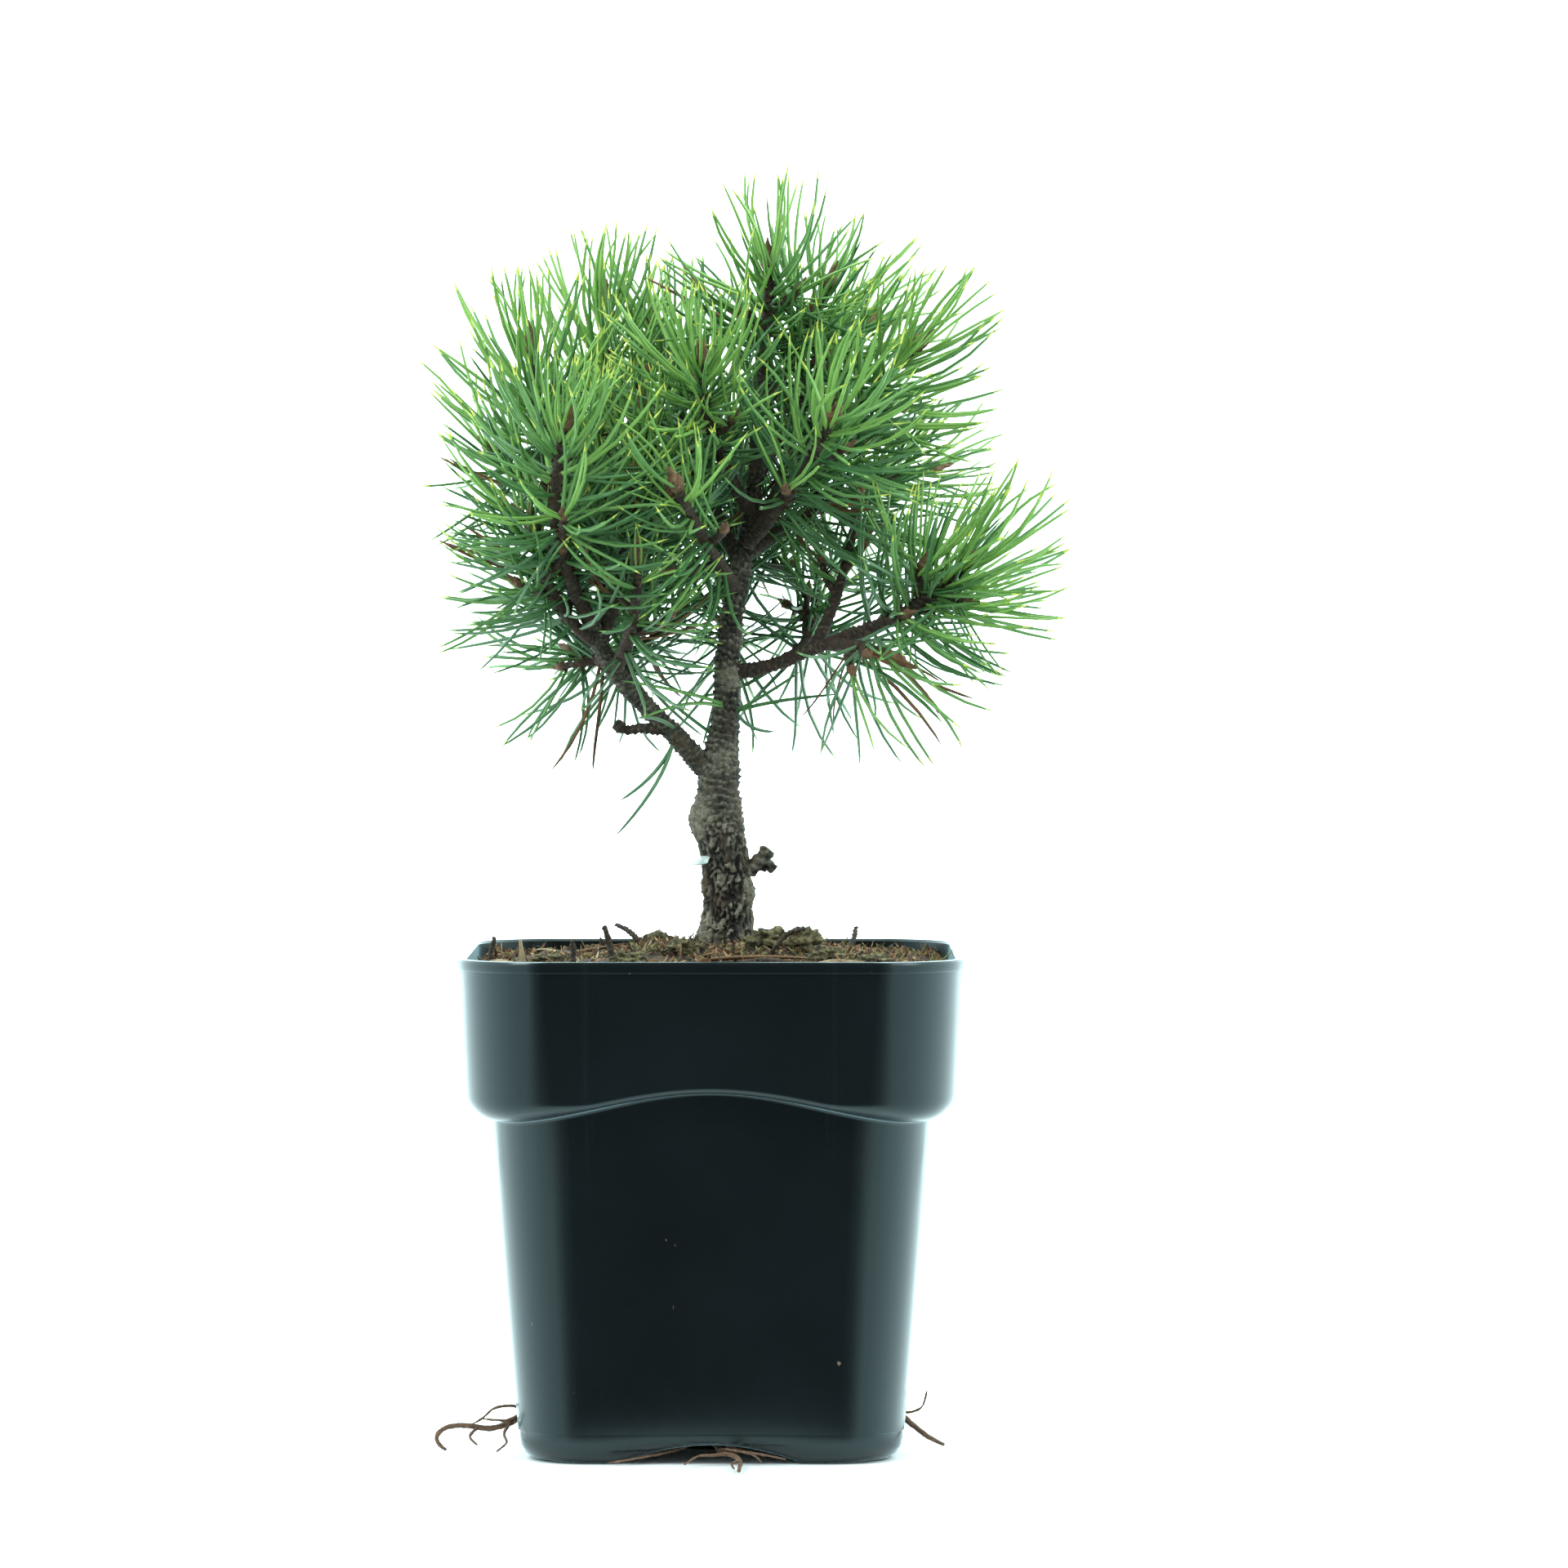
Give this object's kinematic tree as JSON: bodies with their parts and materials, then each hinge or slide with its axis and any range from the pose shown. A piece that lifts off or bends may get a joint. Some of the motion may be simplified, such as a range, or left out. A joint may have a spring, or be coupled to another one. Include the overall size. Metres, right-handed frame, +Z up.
{
  "type": "potted pine",
  "caption": "Young pine with a forked trunk and brush-like shoots of paired needles, growing in a square nursery pot with a wide band.",
  "frame": {"origin": "on the ground under the middle of the pot, at the round pad under its raised floor", "axes": "+Z up the trunk; the side with the crown's widest view faces -Y, with +X to its right"},
  "size_m": [0.2036, 0.1886, 0.3885],
  "materials": {
    "pot_plastic": "dark slate moulded plastic with a soft sheen",
    "potting_mix": "coarse bark and moss crumbs",
    "bark": "rough grey-brown scaly bark",
    "twig_bark": "dark scaly twig bark",
    "needles": "satin green needles",
    "root": "matt fibrous"
  },
  "bodies": {
    "root": {"dead_stub": "twig_bark", "drain_roots_front": "root", "drain_roots_left": "root", "drain_roots_right": "root", "left_bough_lower": "bark", "left_bough_upper": "bark", "pot": "pot_plastic", "potting_mix": "potting_mix", "right_bough": "bark", "shoot_back": "needles", "shoot_back_low": "needles", "shoot_beside_leader": "needles", "shoot_front_low": "needles", "shoot_inner": "needles", "shoot_leader": "needles", "shoot_left_back": "needles", "shoot_left_front": "needles", "shoot_left_inner": "needles", "shoot_left_low": "needles", "shoot_left_middle": "needles", "shoot_left_outer": "needles", "shoot_left_rear": "needles", "shoot_left_top": "needles", "shoot_middle_back": "needles", "shoot_middle_front": "needles", "shoot_right_back": "needles", "shoot_right_end": "needles", "shoot_right_low": "needles", "shoot_right_middle": "needles", "shoot_right_rear": "needles", "shoot_right_rising": "needles", "shoot_right_top": "needles", "trunk": "bark"}
  },
  "joints": []
}
